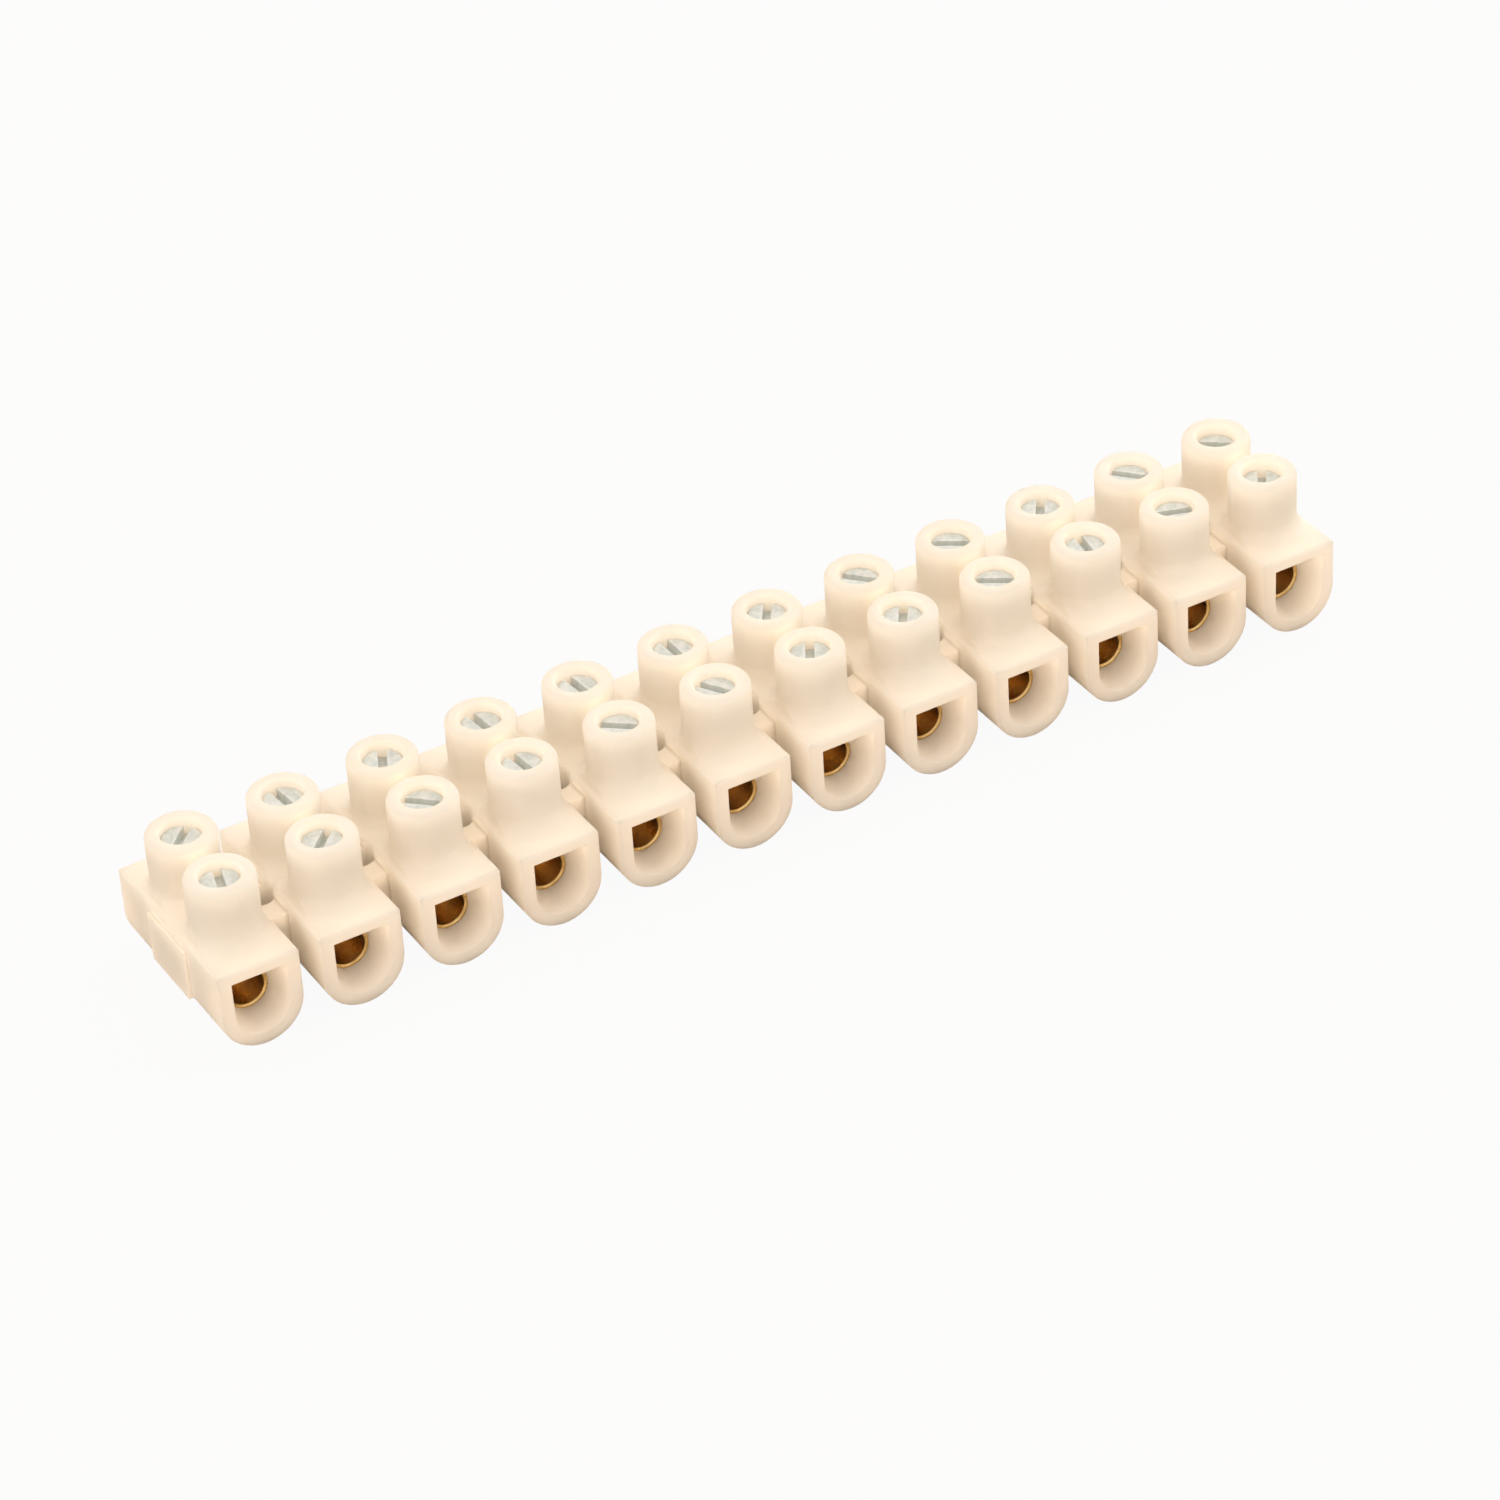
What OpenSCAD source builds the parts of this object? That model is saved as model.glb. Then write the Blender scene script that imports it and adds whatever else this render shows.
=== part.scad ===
// Twelve-pole terminal strip: a moulded insulating housing, a brass tube in each pole
// and two slotted clamp screws per pole. Millimetres, +Z up.
// The origin is at the middle of the base, X runs along the strip, the near mouths face -Y.

/* [Strip] */
// Number of poles
poles = 12; // [12]
// Distance from one pole to the next
pitch = 10; // [9.6:0.1:12]
// Length of each pole from mouth to mouth
depth = 19.8; // [18.6:0.2:26]
// Width of each pole, which is also the diameter of its round underside
pole_w = 8.0; // [7.8:0.1:8.4]
// Height of the flat shoulder that the mouths open under
shoulder_h = 8.65; // [8.2:0.05:10]

/* [Screw towers] */
// Overall height of the strip, up to the tower rims
tower_h = 14.9; // [14:0.1:18]
// Outer diameter of a tower
tower_d = 6.56; // [6.2:0.02:6.8]
// Distance of each tower from the middle of its pole
tower_y = 3.8; // [3.6:0.1:4.4]
// Diameter of the screw well
well_d = 3.9; // [3.8:0.05:4.2]
// Radius of the rounded rim of a tower
rim_r = 0.6; // [0.3:0.05:0.7]
// Radius of the soft lip of the well
lip_r = 0.35; // [0.1:0.05:0.4]
// Radius of the concave sweep at the foot of a tower
sweep_r = 1.5; // [0.6:0.1:1.8]

/* [Mouths] */
// Wall beside and below a mouth
mouth_wall = 1.3; // [1:0.05:1.4]
// Wall above a mouth
mouth_roof = 1.05; // [0.8:0.05:1.3]
// Depth of the funnel that leads to the brass tube
funnel_depth = 3.2; // [2.4:0.1:3.6]
// Radius of the inner end of the funnel
funnel_end_r = 2.0; // [1.85:0.05:2.3]

/* [Webs] */
// Half the length of the web between two poles
web_half = 3.6; // [2.8:0.1:4.4]
// Height of the top of a web
web_top = 7.75; // [7:0.05:8]
// Height of the underside of a web
web_low = 2.7; // [2:0.1:4]
// Diameter of the mounting hole in a web
mount_hole_d = 2.8; // [2.2:0.1:3]
// Wall of the foot around a mounting hole
foot_wall = 1.2; // [0.8:0.1:1.4]
// What is left of a snapped web on the side of each end pole
stub_t = 0.25; // [0.1:0.05:0.5]

/* [Brass tubes] */
// Outer diameter of a brass tube
tube_d = 5.0; // [4.7:0.1:5.4]
// Diameter of the wire bore
bore_d = 3.5; // [3.1:0.1:3.6]
// Gap between a tube and its seat, on the radius and at each end
tube_gap = 0.04; // [0.02:0.01:0.08]

/* [Clamp screws] */
// Diameter of the threaded shank
shank_d = 3.0; // [2.6:0.1:3]
// Gap between the shank and its hole in the brass, on the radius
shank_gap = 0.05; // [0.02:0.01:0.1]
// Gap between the head and the wall of the well, on the radius
head_gap = 0.1; // [0.05:0.01:0.2]
// Height of the head
head_h = 2.2; // [1.8:0.1:2.8]
// Width of the screwdriver slot
slot_w = 0.8; // [0.5:0.1:1]
// Depth of the screwdriver slot
slot_depth = 1.0; // [0.6:0.1:1.2]
// Depth of an open screw's head below the rim
open_depth = 0.8; // [0.6:0.1:1.2]

/* [Hidden] */
$fn = 48;

// How each screw was left: the turn of its slot and how far it is screwed in, pole by pole
front_slot_turn = [75, 45, 135, 95, 140, 120, 60, 55, 145, 80, 160, 55];
rear_slot_turn = [45, 95, 65, 95, 95, 90, 55, 130, 145, 55, 130, 140];
front_screwed_in = [0, 0, 0, 0, 0, 0, 0, 0, 0, 0, 0.1, 0.3];
rear_screwed_in = [0, 0, 0, 0, 0, 0, 0, 0, 0, 0, 0, 0.3];

pole_r = pole_w / 2;
tower_r = tower_d / 2;
well_r = well_d / 2;
mouth_r = pole_r - mouth_wall;
mouth_top = shoulder_h - mouth_roof;
seat_half = depth / 2 - funnel_depth;
seat_r = tube_d / 2 + tube_gap;
tube_half = seat_half - tube_gap;
edge_r = 0.3;
end_edge_r = 0.25;
side_sweep_r = pole_r - edge_r - tower_r;
// How far the cone of a funnel's corners stands outside them, in the mouth and at its end
corner_clear = 0.2;
corner_ease = 0.06;
foot_r = mount_hole_d / 2 + foot_wall;
head_r = well_r - head_gap;
head_edge_r = 0.25;
shank_r = shank_d / 2;
tip_chamfer = 0.4;
tip_gap = 0.4;
tip_z = pole_r + bore_d / 2 + tip_gap;
screw_length = tower_h - open_depth - tip_z;
tube_chamfer = 0.15;
overrun = 1;

cream = [0.93, 0.88, 0.78];
brass = [0.80, 0.64, 0.33];
zinc = [0.72, 0.73, 0.74];

function pole_x(i) = (i - (poles - 1) / 2) * pitch;

// Extrudes a section drawn in X and Z along the strip's depth, centred on the middle
module along_y(length) {
    rotate([90, 0, 0])
        linear_extrude(height = length, center = true)
            children();
}

// Extrudes an outline drawn in Y and Z across one pole
module along_x(length) {
    rotate([90, 0, 90])
        linear_extrude(height = length, center = true)
            children();
}

// A square-cornered rectangle with its four corners rounded by true arcs
module rounded_rect(w, h, r) {
    square([w - 2 * r, h], center = true);
    square([w, h - 2 * r], center = true);
    for (x = [-1, 1], y = [-1, 1])
        translate([x * (w / 2 - r), y * (h / 2 - r)])
            circle(r = r);
}

// The upper half of a pole: flat shoulder, straight sides, every outer edge softened
module pole_upper() {
    rise = shoulder_h - pole_r;
    intersection() {
        along_y(depth)
            translate([0, pole_r])
                rounded_rect(pole_w, 2 * rise, edge_r);
        along_x(pole_w)
            translate([0, pole_r])
                rounded_rect(depth, 2 * rise, end_edge_r);
        translate([0, 0, pole_r])
            linear_extrude(height = rise + overrun)
                rounded_rect(pole_w, depth, end_edge_r);
    }
}

// The lower half of a pole: half of a round bar lying along Y
module pole_lower() {
    intersection() {
        translate([0, 0, pole_r])
            rotate([90, 0, 0])
                rotate_extrude()
                    intersection() {
                        rounded_rect(pole_w, depth, end_edge_r);
                        translate([0, -depth])
                            square([pole_w, 2 * depth]);
                    }
        translate([-pole_w, -depth, -overrun])
            cube([2 * pole_w, 2 * depth, pole_r + overrun]);
    }
}

// A screw tower with its rounded rim, standing on the middle of the pole
module tower() {
    rotate_extrude() {
        translate([0, pole_r])
            square([tower_r, tower_h - rim_r - pole_r]);
        translate([0, pole_r])
            square([tower_r - rim_r, tower_h - pole_r]);
        translate([tower_r - rim_r, tower_h - rim_r])
            circle(r = rim_r);
    }
}

// The concave sweep round the foot of a tower, narrowed where the pole's sides cut it off
module tower_sweep() {
    intersection() {
        rotate_extrude()
            difference() {
                translate([0, shoulder_h - overrun])
                    square([tower_r + sweep_r, overrun + sweep_r]);
                translate([tower_r + sweep_r, shoulder_h + sweep_r])
                    circle(r = sweep_r);
            }
        along_y(2 * (tower_r + sweep_r))
            difference() {
                translate([-pole_r + edge_r, shoulder_h - overrun])
                    square([pole_w - 2 * edge_r, overrun + sweep_r]);
                for (s = [-1, 1]) {
                    translate([s * (tower_r + side_sweep_r), shoulder_h + side_sweep_r])
                        circle(r = side_sweep_r);
                    translate([s * (tower_r + sweep_r), shoulder_h + side_sweep_r + sweep_r / 2])
                        square([2 * sweep_r, sweep_r], center = true);
                }
            }
    }
}

// The web between two poles with the foot under it, centred on its mounting hole
module web() {
    wall = pole_r - seat_r;
    reach = pitch - pole_w + wall;
    translate([-reach / 2, -web_half, web_low])
        cube([reach, 2 * web_half, web_top - web_low]);
    cylinder(r = foot_r, h = web_low + overrun);
}

// What is left of a web that was snapped off the side of an end pole
module web_stub() {
    wall = pole_r - seat_r;
    translate([pole_r - wall / 2, -web_half, web_low])
        cube([wall / 2 + stub_t, 2 * web_half, web_top - web_low]);
}

// The funnel behind a near mouth: the U outline narrows evenly, and a cone takes off its
// two upper corners so that it ends round at the brass tube
module funnel() {
    rise = mouth_top - pole_r;
    slope = (mouth_r - funnel_end_r) / funnel_depth;
    roof_slope = (rise - funnel_end_r) / funnel_depth;
    corner_r = norm([mouth_r, rise]) + corner_clear;
    corner_end_r = funnel_end_r + corner_ease;
    corner_slope = (corner_r - corner_end_r) / funnel_depth;
    length = funnel_depth + overrun;
    translate([0, -depth / 2 - overrun, pole_r]) {
        intersection() {
            rotate([-90, 0, 0])
                cylinder(r1 = mouth_r + overrun * slope, r2 = funnel_end_r, h = length);
            translate([-pole_w, -overrun, -pole_w])
                cube([2 * pole_w, length + 2 * overrun, pole_w]);
        }
        intersection() {
            linear_extrude(height = rise + overrun)
                polygon([
                    [-mouth_r - overrun * slope, 0],
                    [mouth_r + overrun * slope, 0],
                    [funnel_end_r, length],
                    [-funnel_end_r, length]
                ]);
            along_x(pole_w)
                polygon([
                    [0, 0],
                    [0, rise + overrun * roof_slope],
                    [length, funnel_end_r],
                    [length, 0]
                ]);
            rotate([-90, 0, 0])
                cylinder(r1 = corner_r + overrun * corner_slope, r2 = corner_end_r, h = length);
        }
    }
}

// The seat that a brass tube lies in, between the two funnels
module seat() {
    translate([0, 0, pole_r])
        rotate([90, 0, 0])
            cylinder(r = seat_r, h = 2 * seat_half, center = true);
}

// The mounting hole through a web and its foot
module mounting_hole() {
    translate([0, 0, -overrun])
        cylinder(r = mount_hole_d / 2, h = tower_h + 2 * overrun);
}

// The screw well of a tower, with the soft lip at its top
module well() {
    translate([0, 0, pole_r])
        cylinder(r = well_r, h = tower_h - pole_r + overrun);
    rotate_extrude()
        difference() {
            translate([0, tower_h - lip_r])
                square([well_r + lip_r, lip_r + overrun]);
            translate([well_r + lip_r, tower_h - lip_r])
                circle(r = lip_r);
            translate([well_r + lip_r, tower_h - lip_r])
                square([lip_r, lip_r + 2 * overrun]);
        }
}

// Places its children in the middle of pole i
module at_pole(i) {
    translate([pole_x(i), 0, 0])
        children();
}

// Places its children on the axis of one of the two towers of pole i, side -1 or 1
module at_tower(i, side) {
    translate([pole_x(i), side * tower_y, 0])
        children();
}

module housing() {
    color(cream)
        difference() {
            union() {
                for (i = [0 : poles - 1]) {
                    at_pole(i) pole_upper();
                    at_pole(i) pole_lower();
                    at_tower(i, -1) tower();
                    at_tower(i, 1) tower();
                    at_tower(i, -1) tower_sweep();
                    at_tower(i, 1) tower_sweep();
                    if (i < poles - 1)
                        at_pole(i + 0.5) web();
                    else
                        at_pole(i) web_stub();
                    if (i == 0)
                        at_pole(i) mirror([1, 0, 0]) web_stub();
                }
            }
            for (i = [0 : poles - 1]) {
                at_pole(i) funnel();
                at_pole(i) mirror([0, 1, 0]) funnel();
                at_pole(i) seat();
                at_tower(i, -1) well();
                at_tower(i, 1) well();
                if (i < poles - 1)
                    at_pole(i + 0.5) mounting_hole();
            }
        }
}

// The brass tube of pole i: a wire bore from end to end and two screw holes from above
module insert(i) {
    color(brass)
        translate([pole_x(i), 0, pole_r])
            difference() {
                rotate([90, 0, 0])
                    rotate_extrude()
                        polygon([
                            [bore_d / 2, -tube_half + tube_chamfer],
                            [bore_d / 2 + tube_chamfer, -tube_half],
                            [tube_d / 2 - tube_chamfer, -tube_half],
                            [tube_d / 2, -tube_half + tube_chamfer],
                            [tube_d / 2, tube_half - tube_chamfer],
                            [tube_d / 2 - tube_chamfer, tube_half],
                            [bore_d / 2 + tube_chamfer, tube_half],
                            [bore_d / 2, tube_half - tube_chamfer]
                        ]);
                for (s = [-1, 1])
                    translate([0, s * tower_y, 0])
                        cylinder(r = shank_r + shank_gap, h = tube_d);
            }
}

// A clamp screw standing on its tip at the origin, its slot along X
module screw() {
    color(zinc)
        difference() {
            union() {
                cylinder(r1 = shank_r - tip_chamfer, r2 = shank_r, h = tip_chamfer);
                translate([0, 0, tip_chamfer])
                    cylinder(r = shank_r, h = screw_length - head_h - tip_chamfer);
                translate([0, 0, screw_length - head_h])
                    rotate_extrude() {
                        square([head_r - head_edge_r, head_h]);
                        square([head_r, head_h - head_edge_r]);
                        translate([head_r - head_edge_r, head_h - head_edge_r])
                            circle(r = head_edge_r);
                    }
            }
            translate([-well_d, -slot_w / 2, screw_length - slot_depth])
                cube([2 * well_d, slot_w, slot_depth + overrun]);
        }
}

// A screw of pole i in its well; side is -1 for the near row and 1 for the far row
module placed_screw(i, side) {
    turn = side < 0 ? front_slot_turn[i] : rear_slot_turn[i];
    screwed_in = side < 0 ? front_screwed_in[i] : rear_screwed_in[i];
    translate([pole_x(i), side * tower_y, tip_z - screwed_in])
        rotate([0, 0, turn])
            screw();
}

housing();
for (i = [0 : poles - 1]) {
    number = str(i < 9 ? "0" : "", i + 1);
    insert(i);
    placed_screw(i, -1);
    placed_screw(i, 1);
}
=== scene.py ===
"""Looks of a barrier terminal strip: moulded cream housing, brass tubes, slotted zinc screws.

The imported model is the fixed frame. The housing and the brass tubes keep their solids and get
their finishes here. Each clamp screw gets a threaded shank and a worn slot in place of its
plain solid, and rides on that screw's body.
"""

import logging
import math
from dataclasses import dataclass, field
from enum import Enum
from typing import ClassVar

import bmesh
import bpy
import numpy as np
from mathutils import Matrix, Vector


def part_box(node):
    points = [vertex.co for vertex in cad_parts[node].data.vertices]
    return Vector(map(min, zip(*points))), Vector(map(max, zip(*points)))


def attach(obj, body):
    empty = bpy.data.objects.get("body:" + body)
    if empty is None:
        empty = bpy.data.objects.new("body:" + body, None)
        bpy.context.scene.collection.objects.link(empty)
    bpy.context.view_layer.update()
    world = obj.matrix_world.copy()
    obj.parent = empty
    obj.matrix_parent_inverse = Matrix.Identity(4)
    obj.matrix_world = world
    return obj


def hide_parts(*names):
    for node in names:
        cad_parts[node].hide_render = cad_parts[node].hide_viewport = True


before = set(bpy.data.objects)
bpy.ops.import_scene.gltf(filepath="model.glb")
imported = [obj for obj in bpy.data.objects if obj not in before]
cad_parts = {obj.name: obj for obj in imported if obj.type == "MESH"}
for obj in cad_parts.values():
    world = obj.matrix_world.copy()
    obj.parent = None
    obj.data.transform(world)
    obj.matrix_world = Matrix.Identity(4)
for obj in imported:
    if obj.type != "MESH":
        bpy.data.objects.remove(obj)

log = logging.getLogger("terminal_strip")

MM = 0.001
POLE_COUNT = 12
POLES = range(1, POLE_COUNT + 1)
Colour = tuple[float, float, float, float]
WHITE: Colour = (1.0, 1.0, 1.0, 1.0)


class Slot(Enum):
    """The record's material slot for the zinc steel screws. The new pieces here get their finish
    directly, not through it.
    """

    ZINC = "zinc_steel"


class Row(Enum):
    """The two rows of clamp screws, named as in the nodes."""

    FRONT = "front"
    REAR = "rear"


@dataclass(frozen=True)
class Pattern:
    """A noise over a surface, and the span of its values that is used.

    Attributes:
        size: the size of one patch, in metres.
        detail: how many finer octaves are added.
        rough: how strong the finer octaves are.
        span: the two noise values that are spread out to the full range.
        stretch: a scale for each axis, below 1 to draw the patches out along it.
    """

    size: float
    detail: float = 3.0
    rough: float = 0.55
    span: tuple[float, float] = (0.0, 1.0)
    stretch: tuple[float, float, float] | None = None


@dataclass(frozen=True)
class Relief:
    """A pattern as a height: how deep it would be, in metres, and how much of that is kept."""

    pattern: Pattern
    depth: float
    strength: float


class NodeGraph:
    """A small helper that adds and links shader nodes in one material or world."""

    def __init__(self, owner: bpy.types.Material | bpy.types.World) -> None:
        """Clears the owner's node tree and starts a new one.

        Args:
            owner: the material or world whose nodes are built.
        """
        owner.use_nodes = True
        self.tree = owner.node_tree
        self.tree.nodes.clear()

    def add(self, kind: str, values: dict | None = None, **attributes: object) -> bpy.types.Node:
        """Adds a node, sets its attributes, and sets or links its inputs.

        Args:
            kind: the node's type name, such as "ShaderNodeMix".
            values: input name or index to a value, or to an output socket to link.
            **attributes: node attributes such as data_type or operation.

        Returns:
            The new node.
        """
        node = self.tree.nodes.new(kind)
        for name, value in attributes.items():
            setattr(node, name, value)
        for key, value in (values or {}).items():
            if isinstance(value, bpy.types.NodeSocket):
                self.tree.links.new(value, node.inputs[key])
            else:
                node.inputs[key].default_value = value
        return node

    def position(self) -> bpy.types.NodeSocket:
        """Object coordinates, in metres."""
        return self.add("ShaderNodeTexCoord").outputs["Object"]

    def noise(self, vector: bpy.types.NodeSocket, pattern: Pattern) -> bpy.types.NodeSocket:
        """A pattern's noise, from 0 to 1.

        Args:
            vector: the coordinates that it follows.
            pattern: its size, its octaves and how far it is drawn out.

        Returns:
            The noise as a value.
        """
        if pattern.stretch:
            vector = self.add("ShaderNodeMapping", {
                "Vector": vector, "Scale": pattern.stretch}).outputs["Vector"]
        return self.add("ShaderNodeTexNoise", {
            "Vector": vector, "Scale": 1.0 / pattern.size, "Detail": pattern.detail,
            "Roughness": pattern.rough,
        }).outputs["Fac"]

    def patches(self, vector: bpy.types.NodeSocket, pattern: Pattern,
                out: tuple[float, float] = (0.0, 1.0)) -> bpy.types.NodeSocket:
        """A pattern's noise with its span spread out over the given range."""
        return self.ramp(self.noise(vector, pattern), *pattern.span, *out)

    def ramp(self, value: bpy.types.NodeSocket, low: float, high: float,
             out_low: float, out_high: float) -> bpy.types.NodeSocket:
        """Maps a value from low..high to out_low..out_high, clamped at both ends."""
        return self.add("ShaderNodeMapRange", {
            "Value": value, "From Min": low, "From Max": high,
            "To Min": out_low, "To Max": out_high,
        }, clamp=True).outputs["Result"]

    def maths(self, operation: str, first: bpy.types.NodeSocket | float,
              second: bpy.types.NodeSocket | float) -> bpy.types.NodeSocket:
        """One arithmetic step between two values."""
        return self.add("ShaderNodeMath", {0: first, 1: second}, operation=operation).outputs[0]

    def mix(self, amount: bpy.types.NodeSocket | float, first: bpy.types.NodeSocket | Colour,
            second: bpy.types.NodeSocket | Colour) -> bpy.types.NodeSocket:
        """Mixes two colours by an amount. The node's colour sockets are 6 and 7, and 2 goes out."""
        return self.add("ShaderNodeMix", {
            "Factor": amount, 6: first, 7: second}, data_type="RGBA").outputs[2]

    def relief(self, vector: bpy.types.NodeSocket, form: Relief,
               under: bpy.types.NodeSocket | None = None) -> bpy.types.NodeSocket:
        """Turns a pattern into a normal.

        Args:
            vector: the coordinates that the pattern follows.
            form: the pattern and its depth.
            under: a normal that the relief is added to.

        Returns:
            The changed normal.
        """
        values = {"Height": self.noise(vector, form.pattern),
                  "Distance": form.depth, "Strength": form.strength}
        if under is not None:
            values["Normal"] = under
        return self.add("ShaderNodeBump", values).outputs["Normal"]

    def surface(self, shader: bpy.types.Node, kind: str = "ShaderNodeOutputMaterial") -> None:
        """Links a shader to the output."""
        self.add(kind, {"Surface": shader.outputs[0]})


@dataclass(frozen=True)
class MouldedPlastic:
    """Natural cream plastic: milky, with light that goes well in, and a soft satin sheen.

    Attributes:
        base, pale, warm: the main colour, and those of its clouds and its specks.
        clouds, specks, speck_share: the patterns of both, and how strong the specks are.
        painted_shade_colour, painted_corner_shade: the colour of the shade painted into
            tight corners, and how strong that painted shade is.
        corner, open_sky: how near a wall has to be for a spot to get the painted shade, and
            how open a spot is where the painted shade is darkest and where it ends.
        roughness, handling: the sheen's range, and the pattern of its handled places.
        waves, grain: the mould's faint waves and its fine grain.
        edge: the radius that sharp edges are shaded with.
        depth, reach, through: how far light goes in, for red, green and blue, and its share.
        ior, specular: the index of refraction, and the level of the surface's reflection.
        samples: rays for each shaded corner and edge.
    """

    name: str = "cream_moulded_plastic"
    base: Colour = (0.940, 0.865, 0.752, 1.0)
    pale: Colour = (0.948, 0.882, 0.784, 1.0)
    warm: Colour = (0.926, 0.828, 0.696, 1.0)
    clouds: Pattern = Pattern(9.0 * MM, 2.0, span=(0.38, 0.66))
    specks: Pattern = Pattern(1.1 * MM, 4.0, 0.6, (0.60, 0.78))
    speck_share: float = 0.35
    # painted shade: the darker colour that tight corners are mixed towards
    painted_shade_colour: Colour = (0.690, 0.600, 0.470, 1.0)
    painted_corner_shade: float = 0.8
    corner: float = 0.40 * MM
    open_sky: tuple[float, float] = (0.45, 0.95)
    roughness: tuple[float, float] = (0.56, 0.70)
    handling: Pattern = Pattern(3.0 * MM, 4.0, 0.65, (0.35, 0.70), (1.0, 1.0, 0.35))
    waves: Relief = Relief(Pattern(2.6 * MM, 1.0), 0.05 * MM, 0.5)
    grain: Relief = Relief(Pattern(0.16 * MM), 0.006 * MM, 0.6)
    edge: float = 0.06 * MM
    depth: float = 1.0 * MM
    reach: tuple[float, float, float] = (4.0, 3.8, 3.5)
    through: float = 1.0
    ior: float = 1.45
    specular: float = 0.3
    samples: int = 4

    def build(self) -> bpy.types.Material:
        """Clouds and specks tint it, shade is painted into its tight corners by ambient occlusion,
        and grain lies over waves.
        """
        material = bpy.data.materials.new(self.name)
        graph = NodeGraph(material)
        where = graph.position()
        clouds = graph.patches(where, self.clouds)
        specks = graph.patches(where, self.specks)
        colour = graph.mix(clouds, self.base, self.pale)
        colour = graph.mix(graph.maths("MULTIPLY", specks, self.speck_share), colour, self.warm)
        # Painted shade: ambient occlusion darkens tight corners towards the painted shade colour.
        openness = graph.add("ShaderNodeAmbientOcclusion", {"Distance": self.corner},
                             samples=self.samples, only_local=True).outputs["AO"]
        painted_corner_shade = graph.ramp(openness, *self.open_sky, 1.0, 0.0)
        colour = graph.mix(graph.maths("MULTIPLY", painted_corner_shade, self.painted_corner_shade), colour, self.painted_shade_colour)
        sheen = graph.patches(where, self.handling, self.roughness)
        rounded = graph.add("ShaderNodeBevel", {"Radius": self.edge},
                            samples=self.samples).outputs[0]
        relief = graph.relief(where, self.grain, graph.relief(where, self.waves, rounded))
        shader = graph.add("ShaderNodeBsdfPrincipled", {
            "Base Color": colour, "Roughness": sheen, "IOR": self.ior, "Normal": relief,
            "Subsurface Weight": self.through, "Subsurface Radius": self.reach,
            "Subsurface Scale": self.depth, "Specular IOR Level": self.specular,
        }, subsurface_method="BURLEY")
        graph.surface(shader)
        return material


@dataclass(frozen=True)
class TurnedBrass:
    """Brass cut on a lathe: fine rings along the tube, dull where it has tarnished."""

    name: str = "turned_brass"
    bright: Colour = (0.870, 0.620, 0.270, 1.0)
    tarnished: Colour = (0.620, 0.390, 0.150, 1.0)
    tarnish: Pattern = Pattern(1.6 * MM, 4.0, 0.6, (0.42, 0.68))
    tarnish_share: float = 0.7
    roughness: tuple[float, float] = (0.26, 0.46)
    rings: Relief = Relief(Pattern(0.09 * MM, 2.0, stretch=(0.02, 1.0, 0.02)), 0.012 * MM, 0.8)

    def build(self) -> bpy.types.Material:
        """Rings follow Y, the axis of every tube; the tarnish lies in patches."""
        material = bpy.data.materials.new(self.name)
        graph = NodeGraph(material)
        where = graph.position()
        relief = graph.relief(where, self.rings)
        patches = graph.patches(where, self.tarnish)
        colour = graph.mix(graph.maths("MULTIPLY", patches, self.tarnish_share),
                           self.bright, self.tarnished)
        gloss = graph.ramp(patches, 0.0, 1.0, *self.roughness)
        graph.surface(graph.add("ShaderNodeBsdfPrincipled", {
            "Base Color": colour, "Metallic": 1.0, "Roughness": gloss, "Normal": relief,
        }))
        return material


@dataclass(frozen=True)
class ZincPlate:
    """Zinc plating on small steel screws: pale satin grey, finely scratched, brighter if worn.

    The plate has a thin chalky bloom that scatters light, so it is only partly metallic.
    """

    name: str = "zinc_plate"
    bright: Colour = (0.870, 0.888, 0.850, 1.0)
    dull: Colour = (0.710, 0.748, 0.715, 1.0)
    rubbed: Colour = (0.930, 0.930, 0.900, 1.0)
    clouds: Pattern = Pattern(0.8 * MM, 3.0, 0.6, (0.36, 0.68))
    metallic: float = 0.45
    roughness: tuple[float, float] = (0.48, 0.66)
    scratches: Relief = Relief(
        Pattern(0.06 * MM, 2.0, 0.7, stretch=(0.12, 1.0, 1.0)), 0.008 * MM, 0.8)

    def build(self) -> bpy.types.Material:
        """Scratches run one way over a cloudy plate; the rubbed edges come from the mesh."""
        material = bpy.data.materials.new(self.name)
        graph = NodeGraph(material)
        where = graph.position()
        clouds = graph.patches(where, self.clouds)
        relief = graph.relief(where, self.scratches)
        worn = graph.add("ShaderNodeAttribute", attribute_name=MeshParts.WEAR).outputs["Fac"]
        colour = graph.mix(clouds, self.bright, self.dull)
        colour = graph.mix(worn, colour, self.rubbed)
        gloss = graph.ramp(clouds, 0.0, 1.0, *self.roughness)
        graph.surface(graph.add("ShaderNodeBsdfPrincipled", {
            "Base Color": colour, "Metallic": self.metallic, "Roughness": gloss, "Normal": relief,
        }))
        return material


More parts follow.
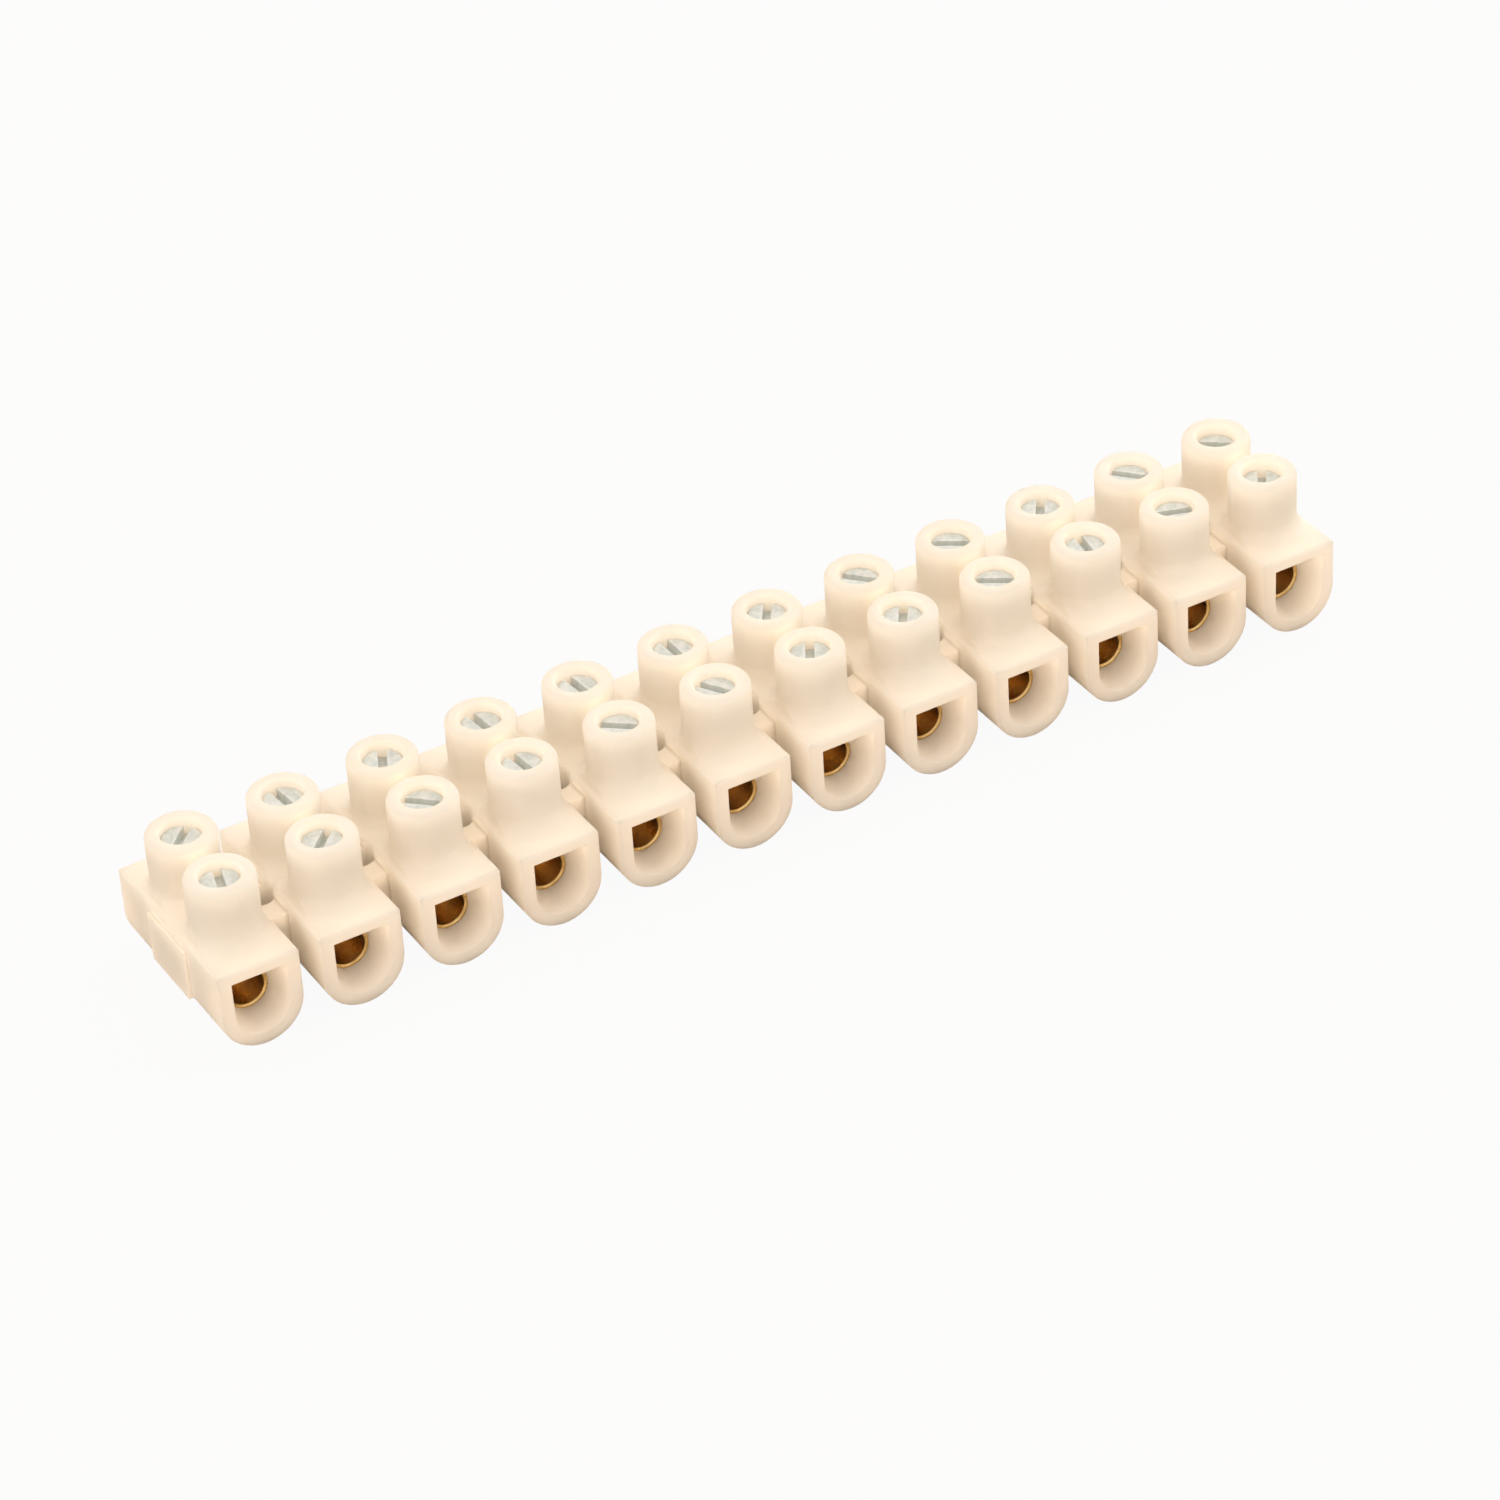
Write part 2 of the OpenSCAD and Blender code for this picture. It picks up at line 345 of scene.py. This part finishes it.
@dataclass
class MeshParts:
    """Vertices, faces and wear gathered from several grids into one mesh."""

    WEAR: ClassVar[str] = "wear"

    points: list[np.ndarray] = field(default_factory=list)
    faces: list[np.ndarray] = field(default_factory=list)
    wear: list[np.ndarray] = field(default_factory=list)
    count: int = 0

    def add_points(self, points: np.ndarray, wear: np.ndarray | float = 0.0) -> np.ndarray:
        """Adds vertices and gives back their numbers, in the shape of the grid they came in."""
        flat = points.reshape(-1, 3)
        numbers = np.arange(self.count, self.count + len(flat)).reshape(points.shape[:-1])
        self.points.append(flat)
        self.wear.append(np.broadcast_to(wear, points.shape[:-1]).reshape(-1))
        self.count += len(flat)
        return numbers

    def add_grid(self, grid: np.ndarray) -> None:
        """Quads between the neighbours of an open grid of vertex numbers."""
        self.faces.append(np.stack([
            grid[:-1, :-1], grid[:-1, 1:], grid[1:, 1:], grid[1:, :-1],
        ], axis=-1).reshape(-1, 4))

    def add_bands(self, rings: np.ndarray) -> None:
        """Quads between neighbouring rows of vertex numbers, each row closed on itself."""
        upper, lower = rings[:-1], rings[1:]
        self.faces.append(np.stack([
            upper, np.roll(upper, -1, axis=1), np.roll(lower, -1, axis=1), lower,
        ], axis=-1).reshape(-1, 4))

    def add_fan(self, centre: int, line: np.ndarray, flip: bool = False) -> None:
        """Triangles from one vertex to each pair of neighbours along an open line."""
        a, b = (line[1:], line[:-1]) if flip else (line[:-1], line[1:])
        self.faces.append(np.stack([np.full(len(a), centre), a, b], axis=-1))

    def build(self, name: str, sharp_angle: float) -> bpy.types.Object:
        """Makes one mesh object, smooth between its sharp edges.

        Args:
            name: the object's name.
            sharp_angle: edges that turn further than this, in degrees, stay sharp.

        Returns:
            The object, with the wear as a point attribute.
        """
        mesh = bpy.data.meshes.new(name)
        mesh.from_pydata(
            np.concatenate(self.points).tolist(), [],
            [face for block in self.faces for face in block.tolist()])
        mesh.attributes.new(self.WEAR, "FLOAT", "POINT").data.foreach_set(
            "value", np.concatenate(self.wear).astype(np.float32))
        mesh.validate()
        work = bmesh.new()
        work.from_mesh(mesh)
        bmesh.ops.recalc_face_normals(work, faces=work.faces)
        work.to_mesh(mesh)
        work.free()
        mesh.polygons.foreach_set("use_smooth", np.ones(len(mesh.polygons), dtype=bool))
        mesh.set_sharp_from_angle(angle=math.radians(sharp_angle))
        thing = bpy.data.objects.new(name, mesh)
        bpy.context.scene.collection.objects.link(thing)
        return thing


@dataclass
class ClampScrew:
    """A slotted clamp screw with a threaded shank, in the place of its plain solid.

    The mesh is made with its slot along Y and its axis on Z, then turned and moved to the CAD
    node's place. Its box gives the head's radius and the heights of both ends.

    Attributes:
        row, pole: the screw's row, and its pole from 1 on.
        head_h, head_edge, seat_edge: the head's height, its rounded rim and the chamfer
            under it.
        side_rings: the rings down the head's side, as shares of the way to that chamfer.
        slot_w, slot_depth, floor_slack: the slot's width and depth, and how far a vertex of
            its floor may be off that depth.
        edge_steps, edge_falls: columns beside the slot, by their distance from its wall, and
            how far the worn top sinks there.
        sink: a fall of 1, as a share of the slot's depth.
        wall_lean: how far the foot of each wall stands inside the slot's width.
        edge_room: the width beside a wall that the head's plain columns keep free.
        burr_width, burr_height: the size of the bulges and dips along the slot's edges.
        burr_mean, burr_waves, side_shift: their mean, the lengths of their two sines over
            2 pi, and how far the two sides of the slot are out of step.
        wear_mean, wear_swing: how rubbed those edges are on the whole, and how that varies.
        rear_seed: what sets the wear of the rear row apart from that of the front row.
        shank_r, lead, thread_depth, thread_flat: the thread's radius, its lead, its depth,
            and the width of its flats at root and crest, as a share of a lead.
        run_out, tip_chamfer: the stretch where the thread fades, and the chamfer of the tip.
        around, across, rows_per_turn: how finely the mesh is divided.
        sharp_angle: edges that turn further than this, in degrees, stay sharp.
    """

    row: Row
    pole: int
    head_h: float = 2.2 * MM
    head_edge: float = 0.25 * MM
    seat_edge: float = 0.06 * MM
    side_rings: tuple[float, ...] = (0.35, 0.75, 1.0)
    slot_w: float = 0.8 * MM
    slot_depth: float = 1.0 * MM
    floor_slack: float = 0.02 * MM
    edge_steps: tuple[float, ...] = (0.015 * MM, 0.05 * MM, 0.10 * MM)
    edge_falls: tuple[float, ...] = (0.06, 0.02, 0.02)
    sink: float = 0.3
    wall_lean: float = 0.01 * MM
    edge_room: float = 0.16 * MM
    burr_width: float = 0.12 * MM
    burr_height: float = 0.012 * MM
    burr_mean: float = 1.3
    burr_waves: tuple[float, float] = (0.31 * MM, 0.13 * MM)
    side_shift: float = 2.0
    wear_mean: float = 0.65
    wear_swing: float = 0.3
    rear_seed: int = 1000
    shank_r: float = 1.5 * MM
    lead: float = 0.5 * MM
    thread_depth: float = 0.26 * MM
    thread_flat: float = 0.12
    run_out: float = 0.5 * MM
    tip_chamfer: float = 0.4 * MM
    around: int = 48
    across: int = 20
    rows_per_turn: int = 6
    sharp_angle: float = 32.0
    low: Vector = field(init=False)
    high: Vector = field(init=False)

    def __post_init__(self) -> None:
        """Reads the CAD node's box."""
        self.low, self.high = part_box(self.node)

    @property
    def node(self) -> str:
        """The name of the CAD node, which is also its body's name."""
        return f"screw_{self.row.value}_{self.pole:02d}"

    @property
    def radius(self) -> float:
        """The head's radius."""
        return (self.high[0] - self.low[0]) / 2

    @property
    def top(self) -> float:
        """The height of the head's highest plane."""
        return self.high[2]

    @property
    def under(self) -> float:
        """The height of the plane under the head."""
        return self.high[2] - self.head_h

    def slot_turn(self) -> float:
        """The direction of the slot, read from the floor of the slot in the CAD solid.

        The floor's corners lie furthest apart along the slot, so it is the main axis of the
        spread of those corners round their middle.

        Returns:
            The slot's angle from +X, in radians.
        """
        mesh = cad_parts[self.node].data
        points = np.empty(len(mesh.vertices) * 3)
        mesh.vertices.foreach_get("co", points)
        points = points.reshape(-1, 3)
        below_floor = points[:, 2] - (points[:, 2].max() - self.slot_depth)
        floor = points[np.abs(below_floor) < self.floor_slack][:, :2]
        floor = floor - floor.mean(axis=0)
        _, axes = np.linalg.eigh(floor.T @ floor)
        return float(math.atan2(axes[1, 1], axes[0, 1]))

    def angles(self) -> np.ndarray:
        """Angles of the columns that cross the head, from 0 to pi, packed at the slot's edges.

        A column at angle a stands at x = R cos a. Each wall of the slot takes one column at
        its foot, one at its top and two on the worn edge beside it.

        Returns:
            The angles in rising order.
        """
        half = self.slot_w / 2
        walls = half + np.array([-self.wall_lean, *self.edge_steps])
        plain = np.cos(np.linspace(0, np.pi, self.around // 2 + 1)) * self.radius
        plain = plain[np.abs(np.abs(plain) - half) > self.edge_room]
        stations = np.sort(np.concatenate([plain, walls, -walls]))[::-1]
        return np.arccos(np.clip(stations / self.radius, -1, 1))

    def head_height(self, x: np.ndarray, y: np.ndarray) -> tuple[np.ndarray, np.ndarray]:
        """The height of the head's top below its highest plane, and how worn it is there.

        The top is flat, and falls away in a quarter circle over the last stretch before the
        rim. Inside the slot it is the slot's floor, and beside it the worn edge sinks a
        little. That edge also bulges and dips by a few hundredths of a millimetre, where the
        screwdriver has slipped. The bulges are two sines along the slot, and they fade with
        the square of the distance from the edge, as a bell curve does.

        Args:
            x: distances across the slot.
            y: distances along the slot.

        Returns:
            The heights below 0 or just above it, and the wear from 0 to 1.
        """
        half = self.slot_w / 2
        beside = np.abs(x) - half
        in_slot = beside < 0
        over = np.clip(np.hypot(x, y) - (self.radius - self.head_edge), 0, self.head_edge)
        top = np.sqrt(np.clip(self.head_edge**2 - over**2, 0, None)) - self.head_edge
        top -= np.interp(beside, self.edge_steps, self.edge_falls) * self.slot_depth * self.sink
        near = np.exp(-(beside / self.burr_width) ** 2) * ~in_slot
        rng = np.random.default_rng(self.rear_seed * (self.row is Row.REAR) + self.pole)
        phase = rng.uniform(0, 2 * np.pi, 2)
        side = np.sign(x)
        ripple = (np.sin(y / self.burr_waves[0] + phase[0] + self.side_shift * side)
                  + np.sin(y / self.burr_waves[1] + phase[1] * side))
        burr = self.burr_height * near * (self.burr_mean + ripple)
        wear = np.clip(near * (self.wear_mean + self.wear_swing * ripple), 0, 1)
        return np.where(in_slot, -self.slot_depth, top) - burr, wear

    def add_rings(self, parts: MeshParts, above: np.ndarray, turn: np.ndarray,
                  radius: np.ndarray, z: np.ndarray) -> np.ndarray:
        """Adds rings round the axis, at x = r cos t and y = r sin t, each joined to the last.

        Args:
            parts: the mesh that is being gathered.
            above: the vertex numbers of the ring that the first one is joined to.
            turn: the angle t of each vertex round the axis.
            radius: the radius r, with a row for each ring or one for all of them.
            z: the height, with a row for each ring.

        Returns:
            The last ring's vertex numbers.
        """
        points = np.stack(np.broadcast_arrays(
            radius * np.cos(turn), radius * np.sin(turn), z), axis=-1)
        rings = parts.add_points(points)
        parts.add_bands(np.vstack([above, rings]))
        return rings[-1]

    def build_head(self, parts: MeshParts) -> tuple[np.ndarray, np.ndarray]:
        """Adds the head's top and side, down to the shank's root under it.

        The top is a grid of columns at x = R cos a, each a chord of the head, and rows at
        y = R sin a sin b, with a single vertex at either end. The rings of the side keep the
        angles of its rim.

        Args:
            parts: the mesh that is being gathered.

        Returns:
            The last ring's vertex numbers, and the angle of each vertex round the axis.
        """
        a = self.angles()[1:-1]
        b = np.linspace(-np.pi / 2, np.pi / 2, self.across + 1)
        x = self.radius * np.cos(a)[:, None] * np.ones_like(b)
        y = self.radius * np.sin(a)[:, None] * np.sin(b)
        height, wear = self.head_height(x, y)
        grid = parts.add_points(np.stack([x, y, self.top + height], axis=-1), wear)
        end_z = self.top - self.head_edge
        right, left = parts.add_points(np.array(
            [[self.radius, 0, end_z], [-self.radius, 0, end_z]]))
        parts.add_grid(grid)
        parts.add_fan(right, grid[0])
        parts.add_fan(left, grid[-1], flip=True)

        ring = np.concatenate([[right], grid[:, -1], [left], grid[::-1, 0]])
        turn = np.concatenate([[0], a, [np.pi], 2 * np.pi - a[::-1]])
        rim = np.concatenate([[end_z], self.top + height[:, -1],
                              [end_z], self.top + height[::-1, 0]])
        foot = self.under + self.seat_edge
        side = rim + (foot - rim) * np.array(self.side_rings)[:, None]
        ring = self.add_rings(parts, ring, turn, np.array([[self.radius]]), side)
        steps = np.array([[self.radius - self.seat_edge], [self.shank_r - self.thread_depth]])
        return self.add_rings(parts, ring, turn, steps, np.full_like(steps, self.under)), turn

    def build_shank(self, parts: MeshParts, ring: np.ndarray, turn: np.ndarray) -> None:
        """Adds the threaded shank and closes it at the tip.

        The radius is a triangle wave, cut flat at root and crest, of the height in leads less
        the turn's share of one lead. It fades in below the head, and the tip's chamfer caps it.
        One ring stands at each height of the list, from the head down to the tip.

        Args:
            parts: the mesh that is being gathered.
            ring: the vertex numbers of the ring under the head.
            turn: the angle of each vertex round the axis.
        """
        tip = self.low[2]
        root = self.shank_r - self.thread_depth
        chamfer = tip + self.tip_chamfer
        levels = np.arange(self.under - self.lead / 2, chamfer, -self.lead / self.rows_per_turn)
        z = np.array([*levels, chamfer, tip])[:, None]
        wave = np.abs(((z / self.lead - turn / (2 * np.pi)) % 1.0) * 2 - 1)
        crest = np.clip((wave - self.thread_flat) / (1 - 2 * self.thread_flat), 0, 1)
        fade = np.minimum((self.under - z) / self.run_out, 1.0)
        cap = self.shank_r - np.maximum(self.tip_chamfer - (z - tip), 0.0)
        radius = np.minimum(root + self.thread_depth * crest * fade, cap)
        ring = self.add_rings(parts, ring, turn, radius, z)
        end = parts.add_points(np.array([[0, 0, tip]]))[0]
        parts.add_fan(end, np.append(ring, ring[0]), flip=True)

    def build(self) -> bpy.types.Object:
        """The whole screw as one closed mesh, turned to its slot's direction and in place."""
        parts = MeshParts()
        ring, turn = self.build_head(parts)
        self.build_shank(parts, ring, turn)
        screw = parts.build(f"clamp_{self.node}", self.sharp_angle)
        middle = (self.low + self.high) / 2
        screw.data.transform(Matrix.Translation((middle[0], middle[1], 0.0))
                             @ Matrix.Rotation(self.slot_turn() - math.pi / 2, 4, "Z"))
        return screw

    def dress(self, finish: bpy.types.Material) -> bpy.types.Object:
        """Builds the screw, gives it its finish and puts it on its body."""
        screw = self.build()
        screw.data.materials.append(finish)
        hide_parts(self.node)
        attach(screw, self.node)
        return screw


def paint(node: str, finish: bpy.types.Material) -> bpy.types.Object:
    """Assigns one finish to every material slot of a CAD node's object.

    Args:
        node: the node's name.
        finish: the material.

    Returns:
        The node's object.
    """
    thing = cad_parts[node]
    if not thing.material_slots:
        thing.data.materials.append(finish)
    for place in thing.material_slots:
        place.material = finish
    return thing


@dataclass
class Housing:
    """The moulded housing, which keeps its solid."""

    node: str = "housing"

    def dress(self, finish: bpy.types.Material) -> bpy.types.Object:
        """Gives the housing its finish."""
        return paint(self.node, finish)


@dataclass
class BrassTubes:
    """The brass tubes, one in each pole, which keep their solids."""

    poles: range = POLES

    def dress(self, finish: bpy.types.Material) -> list[bpy.types.Object]:
        """Gives each tube its finish."""
        return [paint(f"insert_{pole:02d}", finish) for pole in self.poles]


@dataclass
class SoftLamp:
    """One rectangular soft light aimed at the middle of the object."""

    name: str
    place: tuple[float, float, float]
    size: tuple[float, float]
    power: float
    colour: tuple[float, float, float]
    target: tuple[float, float, float] = (0.0, 0.0, 0.006)

    def build(self) -> bpy.types.Object:
        """Makes the lamp and turns it towards its target."""
        light = bpy.data.lights.new(self.name, "AREA")
        light.shape = "RECTANGLE"
        light.size, light.size_y = self.size
        light.energy = self.power
        light.color = self.colour
        lamp = bpy.data.objects.new(self.name, light)
        bpy.context.scene.collection.objects.link(lamp)
        away = Vector(self.place) - Vector(self.target)
        lamp.matrix_world = Matrix.Translation(self.place) @ away.to_track_quat(
            "Z", "Y").to_matrix().to_4x4()
        return lamp


@dataclass
class Studio:
    """Pale floor, soft lights, white surroundings and the camera.

    Attributes:
        floor_size, floor_colour: the floor's width, and the colour that it lights things with.
        floor_glow: the share of plain white in the floor as the camera sees it.
        surround, warmth: the strength and the colour of the room's light on the strip.
        lens, sensor, clip: the camera's lens and sensor in millimetres, and its range.
        camera_place, azimuth, elevation, roll: where the camera is, and its angles in degrees.
        lamps: the soft lamps.
    """

    floor_size: float = 3.0
    floor_colour: Colour = (0.66, 0.59, 0.52, 1.0)
    floor_glow: float = 0.94
    surround: float = 0.87
    warmth: Colour = (0.980, 0.886, 0.802, 1.0)
    lens: float = 135.76
    sensor: float = 36.0
    clip: tuple[float, float] = (0.01, 20.0)
    camera_place: tuple[float, float, float] = (-0.202977, -0.372351, 0.306262)
    azimuth: float = -28.6219
    elevation: float = 35.5757
    roll: float = -3.8308
    lamps: tuple[SoftLamp, ...] = (
        SoftLamp("key_lamp", (0.05, 0.15, 1.05), (0.9, 0.9), 0.30, (0.50, 0.72, 0.92)),
        SoftLamp("left_lamp", (-0.80, -0.10, 0.50), (0.6, 0.6), 0.9, (0.88, 0.93, 0.93)),
        SoftLamp("right_lamp", (0.80, 0.10, 0.50), (0.6, 0.6), 2.1, (0.80, 0.93, 0.97)),
        SoftLamp("back_lamp", (0.40, 0.85, 0.70), (0.7, 0.7), 0.4, (0.72, 0.88, 1.0)),
    )

    def build(self) -> None:
        """Makes the floor, the lamps, the surroundings and the camera."""
        self.floor()
        for lamp in self.lamps:
            lamp.build()
            log.info("lamp %s", lamp.name)
        self.surroundings()
        self.camera()
        bpy.context.scene.view_settings.view_transform = "Standard"

    def floor(self) -> bpy.types.Object:
        """A flat pale sheet under the strip, its far edge past the view."""
        half = self.floor_size / 2
        mesh = bpy.data.meshes.new("floor")
        mesh.from_pydata([(-half, -half, 0), (half, -half, 0), (half, half, 0), (-half, half, 0)],
                         [], [(0, 1, 2, 3)])
        floor = bpy.data.objects.new("floor", mesh)
        bpy.context.scene.collection.objects.link(floor)
        material = bpy.data.materials.new("pale_floor")
        graph = NodeGraph(material)
        paper = graph.add("ShaderNodeBsdfDiffuse", {"Color": self.floor_colour})
        white = graph.add("ShaderNodeEmission", {"Color": WHITE, "Strength": 1.0})
        seen = graph.add("ShaderNodeLightPath").outputs["Is Camera Ray"]
        share = graph.maths("MULTIPLY", seen, self.floor_glow)
        graph.surface(graph.add("ShaderNodeMixShader", {
            0: share, 1: paper.outputs[0], 2: white.outputs[0]}))
        mesh.materials.append(material)
        return floor

    def surroundings(self) -> None:
        """An even warm room that lights the strip, and that the camera sees as pure white."""
        world = bpy.data.worlds.new("white_room")
        bpy.context.scene.world = world
        graph = NodeGraph(world)
        path = graph.add("ShaderNodeLightPath").outputs
        direct = graph.maths("MAXIMUM", path["Is Camera Ray"], path["Is Transmission Ray"])
        colour = graph.mix(direct, self.warmth, WHITE)
        strength = graph.ramp(direct, 0.0, 1.0, self.surround, 1.0)
        graph.surface(graph.add("ShaderNodeBackground", {
            "Color": colour, "Strength": strength}), "ShaderNodeOutputWorld")

    def camera(self) -> bpy.types.Object:
        """The camera, from its place, its azimuth and elevation, and a small roll.

        Its forward direction is (-sin a cos e, cos a cos e, -sin e). Its right and up
        directions are the level ones, turned together by the roll.
        """
        a, e, r = (math.radians(v) for v in (self.azimuth, self.elevation, self.roll))
        forward = Vector((-math.sin(a) * math.cos(e), math.cos(a) * math.cos(e), -math.sin(e)))
        level = Vector((math.cos(a), math.sin(a), 0.0))
        upright = level.cross(forward)
        right = level * math.cos(r) + upright * math.sin(r)
        up = upright * math.cos(r) - level * math.sin(r)
        lens = bpy.data.cameras.new("camera")
        lens.lens = self.lens
        lens.sensor_width = self.sensor
        lens.clip_start, lens.clip_end = self.clip
        camera = bpy.data.objects.new("camera", lens)
        bpy.context.scene.collection.objects.link(camera)
        turned = Matrix((right, up, -forward)).transposed().to_4x4()
        camera.matrix_world = Matrix.Translation(self.camera_place) @ turned
        bpy.context.scene.camera = camera
        return camera


def main() -> None:
    """Builds the strip's looks and the studio, and reports each piece."""
    logging.basicConfig(level=logging.INFO, format="%(name)s: %(message)s")
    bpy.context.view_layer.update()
    log.info("camera and studio")
    Studio().build()
    Housing().dress(MouldedPlastic().build())
    log.info("housing")
    BrassTubes().dress(TurnedBrass().build())
    log.info("brass tubes")
    zinc = ZincPlate().build()
    for row in Row:
        for pole in POLES:
            screw = ClampScrew(row, pole).dress(zinc)
            log.info("%s, %d faces", screw.name, len(screw.data.polygons))


if __name__ == "__main__":
    main()
